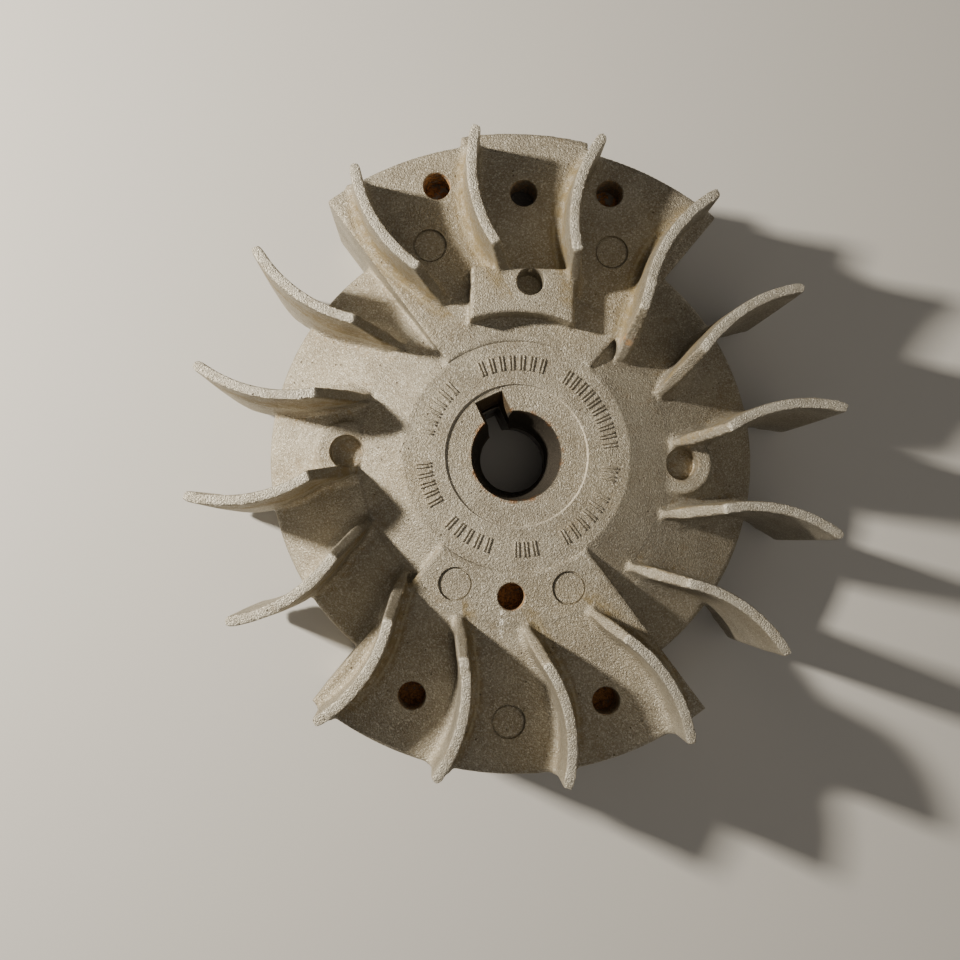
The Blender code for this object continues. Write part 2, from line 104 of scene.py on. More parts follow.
def block(name, width, from_r, to_r, low, high, angle):
    """A cube stretched out from the bore axis along an angle."""
    deselect()
    bpy.ops.mesh.primitive_cube_add(size=1, location=((from_r + to_r) / 2 * MM, 0, (low + high) / 2 * MM))
    piece = bpy.context.object
    piece.name = name
    piece.scale = ((to_r - from_r) * MM, width * MM, (high - low) * MM)
    settle(piece)
    piece.data.transform(Matrix.Rotation(radians(angle), 4, "Z"))
    return piece


def apply(piece, kind, **settings):
    """Add a modifier to a piece and apply it at once."""
    pick(piece)
    modifier = piece.modifiers.new(kind.title(), kind)
    for key, value in settings.items():
        setattr(modifier, key, value)
    bpy.ops.object.modifier_apply(modifier=modifier.name)
    return piece


def cut_away(piece, tool):
    """Cut a tool out of a piece and throw the tool away."""
    apply(piece, "BOOLEAN", operation="DIFFERENCE", solver="MANIFOLD", object=tool)
    bpy.data.objects.remove(tool, do_unlink=True)


def smooth(piece, angle=34.0):
    """Shade smooth, with edges sharper than the angle left crisp."""
    pick(piece)
    bpy.ops.object.shade_smooth_by_angle(angle=radians(angle))


insert = grow_ring("hub_insert_bush", INSERT_TAPER + INSERT_OUTSIDE, 128)
cut_away(insert, block("insert_keyway", KEYWAY_WIDTH, KEYWAY_INNER_R, KEYWAY_R, -2.0, 15.0,
                       KEYWAY_ANGLE))
smooth(insert)


class Value:
    """A number or colour inside a finish. A sum or product on it adds its Math node."""

    def __init__(self, finish, socket):
        self.finish = finish
        self.socket = socket

    def math(self, operation, *others):
        return self.finish.node("Math", {"operation": operation}, dict(enumerate((self, *others))))

    def __add__(self, other):
        return self.math("ADD", other)

    def __sub__(self, other):
        return self.math("SUBTRACT", other)

    def __mul__(self, other):
        return self.math("MULTIPLY", other)

    def __truediv__(self, other):
        return self.math("DIVIDE", other)

    def __pow__(self, other):
        return self.math("POWER", other)

    __radd__ = __add__
    __rmul__ = __mul__

    def __rsub__(self, other):
        return self.finish.node("Math", {"operation": "SUBTRACT"}, {0: other, 1: self})

    def fade(self, start, end):
        """0 at start and 1 at end, with a soft curve between; start may be the larger."""
        inputs = {"Value": self, "From Min": start, "From Max": end}
        return self.finish.node("MapRange", {"interpolation_type": "SMOOTHSTEP"}, inputs)

    def biggest(self, other):
        return self.math("MAXIMUM", other)

    def size(self):
        return self.math("ABSOLUTE")


class Finish:
    """A procedural finish, read from the place on the piece in millimetres."""

    def __init__(self, name, roughness=0.5, metallic=0.0):
        self.material = bpy.data.materials.new(name)
        self.material.use_nodes = True
        self.tree = self.material.node_tree
        self.shader = self.tree.nodes["Principled BSDF"]
        self.shader.inputs["Roughness"].default_value = roughness
        self.shader.inputs["Metallic"].default_value = metallic
        place = self.node("TexCoord", output="Object")
        self.place = self.node("VectorMath", {"operation": "SCALE"}, {0: place, "Scale": 1 / MM})
        self.x = self.node("SeparateXYZ", {}, {0: self.place}, "X")
        self.y = self.node("SeparateXYZ", {}, {0: self.place}, "Y")
        self.z = self.node("SeparateXYZ", {}, {0: self.place}, "Z")
        self.r = (self.x * self.x + self.y * self.y) ** 0.5
        self.angle = self.y.math("ARCTAN2", self.x) * degrees(1)

    def node(self, kind, settings=None, inputs=None, output=0):
        node = self.tree.nodes.new("ShaderNode" + kind)
        for key, value in (settings or {}).items():
            setattr(node, key, value)
        for key, value in (inputs or {}).items():
            if isinstance(value, Value):
                self.tree.links.new(value.socket, node.inputs[key])
            else:
                node.inputs[key].default_value = value
        return Value(self, node.outputs[output])

    def noise(self, per_mm, detail=3.0, rough=0.55, stretch=None):
        """Cloudy noise about 0.5 on average."""
        place = self.place
        if stretch:
            place = self.node("VectorMath", {"operation": "MULTIPLY"}, {0: place, 1: stretch})
        inputs = {"Vector": place, "Scale": per_mm, "Detail": detail, "Roughness": rough}
        return self.node("TexNoise", {}, inputs)

    def cells(self, per_mm, output="Distance"):
        return self.node("TexVoronoi", {}, {"Vector": self.place, "Scale": per_mm}, output)

    def mix(self, factor, base, over):
        """One colour over another, by a factor from 0 to 1."""
        return self.node("Mix", {"data_type": "RGBA"}, {0: factor, 6: base, 7: over}, 2)

    def show(self, colour, roughness, metallic, height, depth):
        """Wire the finish up. Depth is the height of its bumps in millimetres."""
        bump = self.node("Bump", {}, {"Height": height, "Distance": depth * MM, "Strength": 1.0})
        shown = {"Base Color": colour, "Roughness": roughness, "Metallic": metallic, "Normal": bump}
        for name, value in shown.items():
            if value is not None:
                self.tree.links.new(value.socket, self.shader.inputs[name])
        return self.material


def rgb(red, green, blue):
    return (red, green, blue, 1.0)


def turned_steel():
    """Dark, oily turned steel with fine rings and a little rust."""
    f = Finish("turned_steel", 0.4, 0.9)
    rings = f.noise(1.0, 2.0, stretch=(0.3, 0.3, 9.0))
    rust = f.noise(0.35, 4.0, 0.65).fade(0.52, 0.68)
    colour = f.mix(rings, rgb(0.10, 0.092, 0.082), rgb(0.22, 0.205, 0.185))
    colour = f.mix(rust * 0.75, colour, rgb(0.17, 0.075, 0.03))
    speck = f.noise(3.0, 3.0)
    rough = rust * 0.35 + rings * 0.15 + 0.28
    metal = 0.95 - rust * 0.7
    return f.show(colour, rough, metal, rings * 0.4 + speck * 0.5, 0.03)


insert.data.materials.clear()
insert.data.materials.append(turned_steel())
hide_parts("hub_insert")
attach(insert, "root")


# ---- Pole laminations, rivets, magnet and counterweight ---------------------------------------
# Stamped sheets of electrical steel, riveted in two stacks beside a block magnet, and a steel
# weight on the far side. All are cast in: the sheets' edges show at the lobe, ground flush and
# lightly rusted, and the rest is seen only down the core-pin holes.

LOBE_R = 59.3


def rusty_steel(name, clean, rust_share, ground_edges):
    """Bare steel under orange rust. Ground edges are brighter on the outside of the lobe."""
    f = Finish(name, 0.6, 0.6)
    patches = f.noise(0.55, 5.0, 0.7).fade(0.62 - rust_share / 2, 0.75 - rust_share / 2)
    tone = f.noise(2.2, 4.0, 0.7)
    rust = f.mix(tone.fade(0.3, 0.7), rgb(0.09, 0.038, 0.015), rgb(0.50, 0.235, 0.075))
    colour = f.mix(f.noise(1.3, 2.0), rgb(*[c * 0.7 for c in clean]), rgb(*clean))
    colour = f.mix(patches, colour, rust)
    rough = patches * 0.4 + 0.42
    metal = 0.9 - patches * 0.85
    height = tone * 0.7 + patches * 0.6
    if ground_edges:
        face = f.r.fade(LOBE_R - 0.7, LOBE_R - 0.1)
        scratches = f.noise(1.0, 2.0, stretch=(0.25, 0.25, 6.0))
        bright = f.mix(scratches, rgb(0.23, 0.21, 0.19), rgb(0.42, 0.39, 0.35))
        shown = face * (0.85 - patches * 0.55)
        colour = f.mix(shown, colour, bright)
        rough = rough - shown * 0.15
    return f.show(colour, rough, metal, height, 0.06)


sheet_steel = rusty_steel("sheet_steel", (0.30, 0.28, 0.25), 0.42, True)
rivet_steel = rusty_steel("rivet_steel", (0.34, 0.32, 0.29), 0.2, False)
weight_steel = rusty_steel("weight_steel", (0.26, 0.22, 0.18), 0.62, False)


def magnet_alloy():
    """Dull grey sintered magnet with fine grain and chipped spots."""
    f = Finish("magnet_alloy", 0.55, 0.4)
    chips = f.noise(0.9, 4.0, 0.7).fade(0.56, 0.66)
    colour = f.mix(f.noise(4.0, 3.0), rgb(0.05, 0.048, 0.046), rgb(0.12, 0.115, 0.11))
    colour = f.mix(chips * 0.5, colour, rgb(0.22, 0.2, 0.18))
    return f.show(colour, 0.62 - chips * 0.2, None, f.noise(5.0, 3.0) + chips, 0.04)


finishes = {"pole_lamination": sheet_steel, "pole_rivet": rivet_steel, "counterweight": weight_steel,
            "ignition_magnet": magnet_alloy()}
for node_name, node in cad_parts.items():
    for part, material in finishes.items():
        if part in node_name:
            node.data.materials.clear()
            node.data.materials.append(material)


# ---- Fan casting: the rough shape -------------------------------------------------------------
# One aluminium die casting: hub, conical web with a rim, two thick sectors, a pad, two pawl
# bosses and sixteen curved blades. Its solid parts are made one by one, joined, and remeshed so
# that they flow into each other with the small fillets of a casting.

RING_TOP = 23.7
RING_R = 20.7
DISC_R = 45.5
RIM_TOP = 15.5
RIM_BOTTOM = 11.2
WEB_THICKNESS = 4.0
SECTOR_TOP = 24.0
SECTOR_HALF_ANGLE = 38.3
SECTOR_FOOT_R = 20.9
MAGNET_SECTOR_R = 57.45
LOBE_INNER_R = 50.0
LOBE_HALF_ANGLE = 11.5
WEIGHT_SECTOR_R = 56.45
SINK = 1.5                      # how far the pad and blades reach into what they stand on
VOXEL = 0.36


def cone_height(r):
    """Height of the web's upper face."""
    return RING_TOP - (r - RING_R) * (RING_TOP - RIM_TOP) / (DISC_R - RING_R)


def make_disc():
    """Hub, web and rim as one turned ring."""
    def under(r):
        return (r, cone_height(r) - WEB_THICKNESS)

    stations = [
        (5.5, 24.0), (19.4, 24.0), (20.3, 23.7), (RING_R, 23.55), (32.0, cone_height(32.0)),
        (44.9, cone_height(44.9)), (45.3, 15.35), (DISC_R, 15.0), (DISC_R, 11.7), (45.1, RIM_BOTTOM),
        (42.3, RIM_BOTTOM), (41.4, 11.9), (40.4, 13.2), under(34.0), under(24.0),
        (20.6, 19.2), (18.4, 17.6), (17.2, 15.0), (16.5, 0.5), (16.1, 0.0), (5.5, 0.0),
    ]
    return grow_ring("disc", stations, 192)


def spin_wedge(name, profile, start, sweep, steps):
    """A flat (radius, height) face at one angle, spun clockwise about the bore axis."""
    deselect()
    bpy.ops.mesh.primitive_circle_add(vertices=len(profile), radius=1, fill_type="NGON")
    piece = bpy.context.object
    piece.name = name
    for vertex, (r, z) in zip(piece.data.vertices, profile):
        vertex.co = (r * MM, 0, z * MM)
    piece.data.transform(Matrix.Rotation(radians(start), 4, "Z"))
    bpy.ops.object.mode_set(mode="EDIT")
    bpy.ops.mesh.select_all(action="SELECT")
    bpy.ops.mesh.spin(steps=steps, angle=radians(sweep), center=(0, 0, 0), axis=(0, 0, 1))
    bpy.ops.mesh.select_all(action="SELECT")
    bpy.ops.mesh.remove_doubles(threshold=WELD)
    close_up()
    return settle(piece)


def make_sector(name, middle, outer_r):
    profile = [(SECTOR_FOOT_R, 0.0), (outer_r, 0.0), (outer_r, SECTOR_TOP), (SECTOR_FOOT_R, SECTOR_TOP)]
    return spin_wedge(name, profile, middle + SECTOR_HALF_ANGLE, 2 * SECTOR_HALF_ANGLE, 72)


def make_lobe():
    profile = [(LOBE_INNER_R, 0.0), (LOBE_R, 0.0), (LOBE_R, SECTOR_TOP), (LOBE_INNER_R, SECTOR_TOP)]
    return spin_wedge("lobe", profile, 90 + LOBE_HALF_ANGLE, 2 * LOBE_HALF_ANGLE, 24)


def plate(name, outline, low, high):
    """A filled circle laid out on an outline, then extruded upwards."""
    deselect()
    bpy.ops.mesh.primitive_circle_add(vertices=len(outline), radius=1, fill_type="NGON")
    piece = bpy.context.object
    piece.name = name
    for vertex, (x, y) in zip(piece.data.vertices, outline):
        vertex.co = (x * MM, y * MM, low * MM)
    bpy.ops.object.mode_set(mode="EDIT")
    bpy.ops.mesh.select_all(action="SELECT")
    rise = (0, 0, (high - low) * MM)
    bpy.ops.mesh.extrude_region_move(TRANSFORM_OT_translate={"value": rise})
    close_up()
    return settle(piece)


def polar(r, angle):
    return (r * cos(radians(angle)), r * sin(radians(angle)))


def arc(r, start, end, count):
    return [polar(r, start + (end - start) * i / (count - 1)) for i in range(count)]


PAD_TOP = 28.0
PAD_HALF_WIDTH = 9.3
PAD_INNER_R = 25.2
PAD_OUTER_Y = 33.2


def make_pad():
    """The raised pad between two blades, hollowed towards the hub."""
    half_angle = degrees(asin(PAD_HALF_WIDTH / PAD_INNER_R))
    inner = arc(PAD_INNER_R, 90 - half_angle, 90 + half_angle, 17)
    outline = [(PAD_HALF_WIDTH, PAD_OUTER_Y)] + inner + [(-PAD_HALF_WIDTH, PAD_OUTER_Y)]
    return plate("pad", outline, SECTOR_TOP - SINK, PAD_TOP)


def rod(name, place, foot_r, top_r, low, high, sides):
    """An upright rod, or a slightly tapered one."""
    deselect()
    bpy.ops.mesh.primitive_cone_add(vertices=sides, radius1=foot_r * MM, radius2=top_r * MM,
                                    depth=(high - low) * MM,
                                    location=(place[0] * MM, place[1] * MM, (low + high) / 2 * MM))
    piece = bpy.context.object
    piece.name = name
    return settle(piece)


BOSS_CENTRE_R = 30.8
BOSS_ANGLES = (180.0, -0.7)
BOSS_FOOT_R = 5.9
BOSS_R = 5.55
BOSS_FOOT = 17.6
BOSS_TOP = 21.2


def make_boss(angle):
    return rod("boss", polar(BOSS_CENTRE_R, angle), BOSS_FOOT_R, BOSS_R, BOSS_FOOT, BOSS_TOP, 64)


BLADE_COUNT = 16
FIRST_BLADE_ANGLE = 121.7
BLADE_TOP = 33.5
BLADE_TIP_R = 57.2
BLADE_KINK_R = 36.2
LONG_BLADE_KINK_R = 32.4
BLADE_KINK_SIDE = -0.6          # where the arc ends beside the tip's radial line
BLADE_BOW = 2.3                 # how far the arc stands off its chord
RUN_ANGLE = 20.0                # turn of the straight inner run from the radius
BOSS_RUN_ANGLE = 7.0            # the same on the blades that pass beside the bosses
ARC_STEPS = 24
RUN_STEPS = 12
BLADE_FOOT_R = 25.5
BLADE_HALF_WIDTH = 0.93
BLADE_DRAFT = 0.022
RAMP_SLOPE = 1.6                # rise over run of the sloping inner ends
ROOT_FILLET = 1.5
EDGE_FILLET = 1.0               # on the blades that stand half on a sector's edge
WEB_AT_FEET = 21.2
THINNEST_FOOT = 0.32
FOOT_TAPER = (-0.5, 3.2)        # where a foot thins, from the radius where its ramp meets the ground
RIM_FADE = (43.5, 45.3)         # the root fillet fades out at the rim
ROOT_LEVELS = (0.0, 0.15, 0.4, 0.8, 1.5)
SECTOR_BLADES = (1, 2, 3, 9, 10, 11)
EDGE_BLADES = (4, 12)
LONG_BLADE = 4
BOSS_BLADES = (6, 14)
SKIRT = [(43.0, 14.0), (45.0, 12.4), (46.5, 9.5), (49.0, 7.3), (51.5, 3.6), (57.0, 3.6)]


def blade_line(run_angle):
    """The blade's plan from tip to foot as (place, heading): an arc, then a straight run."""
    chord = hypot(BLADE_TIP_R - BLADE_KINK_R, BLADE_KINK_SIDE)
    arc_r = ((chord / 2) ** 2 + BLADE_BOW ** 2) / (2 * BLADE_BOW)
    half = asin(chord / 2 / arc_r)
    lean = atan2(-BLADE_KINK_SIDE, BLADE_TIP_R - BLADE_KINK_R)
    points = []
    for i in range(ARC_STEPS + 1):
        turn = half * (1 - 2 * i / ARC_STEPS)
        along = chord / 2 - arc_r * sin(turn)
        side = BLADE_BOW - arc_r * (1 - cos(turn))
        x = BLADE_TIP_R - along * cos(lean) - side * sin(lean)
        y = -along * sin(lean) + side * cos(lean)
        points.append(Vector((x, y)))
    run = radians(run_angle)
    for i in range(1, RUN_STEPS + 1):
        x = BLADE_KINK_R - (BLADE_KINK_R - BLADE_FOOT_R) * i / RUN_STEPS
        points.append(Vector((x, BLADE_KINK_SIDE - (BLADE_KINK_R - x) * tan(run))))
    return points


def between(table, x):
    """Straight-line reading of a table of (x, y) pairs."""
    if x <= table[0][0]:
        return table[0][1]
    for (x0, y0), (x1, y1) in zip(table, table[1:]):
        if x <= x1:
            return y0 + (y1 - y0) * (x - x0) / (x1 - x0)
    return table[-1][1]


def make_blade(number, on_sector, fillet):
    """A flat strip of faces, extruded up level by level and then bent to the blade's shape."""
    line = blade_line(BOSS_RUN_ANGLE if number in BOSS_BLADES else RUN_ANGLE)
    ends = len(line) - 1
    levels = [None] + list(ROOT_LEVELS) + ["top"]
    deselect()
    bpy.ops.mesh.primitive_grid_add(x_subdivisions=ends, y_subdivisions=2, size=2)
    piece = bpy.context.object
    piece.name = "blade_%02d" % number
    bpy.ops.object.mode_set(mode="EDIT")
    bpy.ops.mesh.select_all(action="SELECT")
    for _ in levels[1:]:
        bpy.ops.mesh.extrude_region_move(TRANSFORM_OT_translate={"value": (0, 0, 1)})
    close_up()
    for vertex in piece.data.vertices:
        step = round((vertex.co.x + 1) / 2 * ends)
        level = levels[round(vertex.co.z)]
        centre = line[step]
        ahead = line[min(step + 1, ends)] - line[max(step - 1, 0)]
        across = Vector((-ahead.y, ahead.x)).normalized()
        r = centre.length
        kink_r = LONG_BLADE_KINK_R if number == LONG_BLADE else BLADE_KINK_R
        top = min(BLADE_TOP, BLADE_TOP - (kink_r - r) * RAMP_SLOPE)
        ground = SECTOR_TOP if on_sector else cone_height(min(r, DISC_R))
        if level is None:
            z = ground - SINK if on_sector or r < SKIRT[0][0] else between(SKIRT, r)
        elif level == "top":
            z = top
        else:
            z = ground + level
        z = min(z, top)
        half = BLADE_HALF_WIDTH + BLADE_DRAFT * (BLADE_TOP - max(z, 12.0))
        height = max(0.0, min(fillet, z - ground))
        flare = fillet - sqrt(fillet ** 2 - (fillet - height) ** 2)
        if not on_sector:
            flare *= between([(RIM_FADE[0], 1.0), (RIM_FADE[1], 0.0)], r)
        meet_r = kink_r - (BLADE_TOP - (SECTOR_TOP if on_sector else WEB_AT_FEET)) / RAMP_SLOPE
        taper = [(meet_r + FOOT_TAPER[0], THINNEST_FOOT), (meet_r + FOOT_TAPER[1], 1.0)]
        tip_gap = (line[0] - centre).length
        rounding = sqrt(max(0.0, 1 - (1 - min(1.0, (tip_gap + 0.3) / half)) ** 2))
        offset = (half * rounding + flare) * between(taper, r) * vertex.co.y
        vertex.co = ((centre.x + across.x * offset) * MM, (centre.y + across.y * offset) * MM, z * MM)
    turn = FIRST_BLADE_ANGLE - (number - 1) * 360 / BLADE_COUNT
    piece.data.transform(Matrix.Rotation(radians(turn), 4, "Z"))
    return piece


def join(pieces, name):
    deselect()
    for piece in pieces:
        piece.select_set(True)
    bpy.context.view_layer.objects.active = pieces[0]
    bpy.ops.object.join()
    pieces[0].name = name
    return pieces[0]


rough_parts = [make_disc(), make_sector("magnet_sector", 90.0, MAGNET_SECTOR_R), make_lobe(),
               make_sector("weight_sector", -90.0, WEIGHT_SECTOR_R), make_pad()]
rough_parts += [make_boss(angle) for angle in BOSS_ANGLES]
for number in range(1, BLADE_COUNT + 1):
    rough_parts.append(make_blade(number, number in SECTOR_BLADES, ROOT_FILLET))
    if number in EDGE_BLADES:
        rough_parts.append(make_blade(number, True, EDGE_FILLET))
casting = join(rough_parts, "fan_casting_body")
apply(casting, "REMESH", mode="VOXEL", voxel_size=VOXEL * MM)
apply(casting, "SMOOTH", factor=0.5, iterations=4)
TRIANGLES_KEPT = 165000
triangles = 2 * len(casting.data.polygons)
apply(casting, "DECIMATE", ratio=min(1.0, TRIANGLES_KEPT / triangles))


# ---- Fan casting: bore, holes and pockets -----------------------------------------------------
# What sharp steel cores and later turning leave in the casting: the turned washer seat and nut
# recess, the keyway's mouth, core-pin holes down to the cast-in steel, ejector marks, shallow
# pawl holes, the hollows under the sectors, and the rooms of the cast-in pieces.

CORE_PIN_R = 2.45
PIN_MOUTH = 0.18
MAGNET_PINS = [(51.2, 108.0), (51.2, 72.0), (48.1, 90.0)]
WEIGHT_PINS = [(46.5, -112.2), (46.5, -68.6), (25.3, -90.8)]
PAD_PIN = (30.8, 87.5)
PAD_PIN_FLOOR = 22.6
EJECTOR_MARKS = [(41.2, 114.0), (41.2, 66.5), (25.5, -114.2), (25.5, -67.1), (47.3, -90.4)]
STACK_BOTTOM = 5.6
STACK_TOP = 17.9
WEIGHT_TOP = 18.0
FIT = 0.06                      # clearance round the cast-in pieces


def grow_rod(name, place, stations, sides=48):
    """Extrude a filled circle upwards through (radius, height) stations."""
    deselect()
    centre = (place[0] * MM, place[1] * MM, 0)
    bpy.ops.mesh.primitive_circle_add(vertices=sides, radius=stations[0][0] * MM, fill_type="NGON",
                                      location=(centre[0], centre[1], stations[0][1] * MM))
    piece = bpy.context.object
    piece.name = name
    bpy.ops.object.mode_set(mode="EDIT")
    bpy.ops.mesh.select_all(action="SELECT")
    for (r, z), (next_r, next_z) in zip(stations, stations[1:]):
        rise = (0, 0, (next_z - z) * MM)
        bpy.ops.mesh.extrude_region_move(TRANSFORM_OT_translate={"value": rise})
        bpy.ops.transform.resize(value=(next_r / r, next_r / r, 1), center_override=centre)
    close_up()
    return settle(piece)


def pin_hole(place, low, top):
    """A straight core-pin hole whose mouth is slightly broken."""
    mouth_r = CORE_PIN_R + PIN_MOUTH
    stations = [(CORE_PIN_R, low), (CORE_PIN_R, top - PIN_MOUTH),
                (mouth_r, top + 0.02), (mouth_r, top + 0.6)]
    return grow_rod("pin_hole", polar(*place), stations)


def ejector_mark(place):
    """A shallow flat recess with a fine groove round its floor."""
    stations = [(2.70, 23.64), (2.78, 23.42), (2.96, 23.42), (3.06, 24.0), (3.06, 24.6)]
    return grow_rod("ejector_mark", polar(*place), stations)


bore = grow_rod("bore", (0, 0), [
    (11.0 + FIT, -1.0), (11.0 + FIT, 13.1), (6.4, 13.3), (7.98, 22.95), (8.25, 23.3),
    (12.72, 23.3), (12.9, 23.42), (13.0, RING_TOP), (20.7, RING_TOP), (20.9, 23.9), (20.9, 26.0)], 192)
cut_away(casting, bore)

CAST_KEYWAY_WIDTH = 4.15
CAST_KEYWAY_R = 10.9
MOUTH_R = 10.7
MOUTH_HALF_WIDTH = 1.95
MOUTH_TOP_HALF_WIDTH = 2.75
MOUTH_TOP_REACH = 1.25          # the mouth's outer end leans out by this
MOUTH_FLOOR = 20.2
MOUTH_RIM = 23.4
keyway = block("keyway", CAST_KEYWAY_WIDTH, KEYWAY_INNER_R, CAST_KEYWAY_R, 12.0, 25.0, KEYWAY_ANGLE)
apply(keyway, "BEVEL", width=0.35 * MM, segments=3)
cut_away(casting, keyway)
mouth_outline = [(KEYWAY_INNER_R, -MOUTH_HALF_WIDTH), (MOUTH_R, -MOUTH_HALF_WIDTH),
                 (MOUTH_R, MOUTH_HALF_WIDTH), (KEYWAY_INNER_R, MOUTH_HALF_WIDTH)]
keyway_mouth = plate("keyway_mouth", mouth_outline, MOUTH_FLOOR, MOUTH_RIM)
for vertex in keyway_mouth.data.vertices:
    if vertex.co.z > (MOUTH_FLOOR + MOUTH_RIM) / 2 * MM:
        vertex.co.x += MOUTH_TOP_REACH * MM if vertex.co.x > MOUTH_R / 2 * MM else 0.0
        vertex.co.y *= MOUTH_TOP_HALF_WIDTH / MOUTH_HALF_WIDTH
keyway_mouth.data.transform(Matrix.Rotation(radians(KEYWAY_ANGLE), 4, "Z"))
cut_away(casting, keyway_mouth)

holes = [pin_hole(place, STACK_TOP, SECTOR_TOP) for place in MAGNET_PINS]
holes += [pin_hole(place, WEIGHT_TOP, SECTOR_TOP) for place in WEIGHT_PINS]
holes += [pin_hole(PAD_PIN, PAD_PIN_FLOOR, PAD_TOP)]
holes += [ejector_mark(place) for place in EJECTOR_MARKS]
cut_away(casting, join(holes, "holes"))
PAWL_HOLE = [(2.6, 18.2), (2.88, 18.5), (2.95, 20.9), (3.15, 21.25), (3.15, 23.0), (2.95, 34.5)]
for angle in BOSS_ANGLES:
    cut_away(casting, grow_rod("pawl_hole", polar(BOSS_CENTRE_R, angle), PAWL_HOLE))


POCKET_OUTER_R = 38.0
POCKET_INNER_R = 21.5
POCKET_WALL = 3.2
POCKET_TOP = 18.5
RIB_HALF_WIDTH = 7.5


def half_pocket(middle, side):
    """The hollow behind one half of a sector, between its side wall and the middle rib."""
    def edges(r):
        rib, wall = degrees(RIB_HALF_WIDTH / r), SECTOR_HALF_ANGLE - degrees(POCKET_WALL / r)
        return middle + side * rib, middle + side * wall

    outer = arc(POCKET_OUTER_R, *edges(POCKET_OUTER_R), 17)
    inner = arc(POCKET_INNER_R, *reversed(edges(POCKET_INNER_R)), 9)
    pocket = plate("half_pocket", outer + inner, -3.0, POCKET_TOP)
    return apply(pocket, "BEVEL", width=1.3 * MM, segments=4, limit_method="ANGLE",
                 angle_limit=radians(50))


cut_away(casting, join([half_pocket(middle, side) for middle in (90, -90) for side in (-1, 1)],
                       "half_pockets"))


SHOE_INNER_R = 43.5
SHOE_TAIL_R = 54.5
SHOE_FACE_R = 61.3              # past the lobe, so that the room opens in its face
SHOE_ANGLES = (5.2, 10.6, 22.0)


def shoe_room(side):
    """Where one stack of laminations sits, open at the lobe's face."""
    spread = degrees(FIT / SHOE_INNER_R)
    near, step, far = SHOE_ANGLES
    near, step, far = [90 - side * angle for angle in (near - spread, step + spread, far + spread)]
    face = arc(SHOE_FACE_R, near, step, 6)
    tail = arc(SHOE_TAIL_R + FIT, step, far, 9)
    back = arc(SHOE_INNER_R - FIT, far, near, 15)
    return plate("shoe_room", face + tail[1:] + back, STACK_BOTTOM - FIT, STACK_TOP + FIT)


WEIGHT_BOTTOM = 5.6
WEIGHT_OUTER_R = 52.0
WEIGHT_INNER_R = 41.0
WEIGHT_HALF_ANGLE = 27.1
TONGUE_HALF_WIDTH = 4.5
TONGUE_Y = 21.5


def weight_room():
    """Where the counterweight sits: an arc with a tongue towards the hub."""
    half = TONGUE_HALF_WIDTH + FIT
    end = FIT - TONGUE_Y
    shoulder = degrees(half / WEIGHT_INNER_R)
    left, right = (-90 - WEIGHT_HALF_ANGLE, -90 + WEIGHT_HALF_ANGLE)
    outline = arc(WEIGHT_OUTER_R + FIT, left, right, 31)
    outline += arc(WEIGHT_INNER_R - FIT, right, -90 + shoulder, 9) + [(half, end), (-half, end)]
    outline += arc(WEIGHT_INNER_R - FIT, -90 - shoulder, left, 9)
    return plate("weight_room", outline, WEIGHT_BOTTOM - FIT, WEIGHT_TOP + FIT)


MAGNET_HALF_WIDTH = 4.5
MAGNET_INNER_Y = 43.7
MAGNET_OUTER_Y = 56.3
RIVETS = [(47.2, 9.0), (47.6, 18.6)]
RIVET_ROOM_R = 2.25
RIVET_HEAD_ROOM = 1.25
cut_away(casting, join([shoe_room(-1), shoe_room(1)], "shoe_rooms"))
magnet_outline = [(-MAGNET_HALF_WIDTH, MAGNET_INNER_Y), (MAGNET_HALF_WIDTH, MAGNET_INNER_Y),
                  (MAGNET_HALF_WIDTH, MAGNET_OUTER_Y), (-MAGNET_HALF_WIDTH, MAGNET_OUTER_Y)]
cut_away(casting, plate("magnet_room", magnet_outline, STACK_BOTTOM - FIT, STACK_TOP + FIT))
cut_away(casting, weight_room())
rivet_rooms = []
for side in (-1, 1):
    for r, angle in RIVETS:
        rivet_rooms.append(rod("rivet_room", polar(r, 90 - side * angle), RIVET_ROOM_R, RIVET_ROOM_R,
                               STACK_BOTTOM - RIVET_HEAD_ROOM, STACK_TOP + RIVET_HEAD_ROOM, 24))
cut_away(casting, join(rivet_rooms, "rivet_rooms"))
smooth(casting, 38.0)
apply(casting, "WEIGHTED_NORMAL", keep_sharp=True, weight=60)


# ---- Raised marks on the hub ring -------------------------------------------------------------
# Plain bars cast proud of the hub ring, in eight groups round the washer seat. They are part of
# the casting and share its finish.

MARK_GROUPS = [(116.7, 72.7, 7), (61.7, 5.7, 10), (-4.3, -14.3, 2), (-21.3, -61.3, 6),
               (-75.3, -91.3, 3), (-103.3, -136.3, 5), (-146.3, -175.3, 5), (169.7, 132.7, 6)]
MARK_INNER_R = 15.5
MARK_OUTER_R = 18.3
BAR_WIDTH = 0.38
BAR_HEIGHT = 0.24
BAR_ROOT = 0.3                  # how deep the bars reach into the ring
BAR_SHIFT = 1.05                # degrees between a pair's middle and each of its bars
marks = []
for start, end, count in MARK_GROUPS:
    for i in range(count):
        angle = start + (end - start) * (i + 0.5) / count
        for shift in (-BAR_SHIFT, BAR_SHIFT):
            bar = block("mark", BAR_WIDTH, MARK_INNER_R, MARK_OUTER_R, RING_TOP - BAR_ROOT,
                        RING_TOP + BAR_HEIGHT, angle + shift)
            apply(bar, "BEVEL", width=0.11 * MM, segments=2)
            marks.append(bar)
ring_marks = join(marks, "ring_marks")
smooth(ring_marks, 50.0)


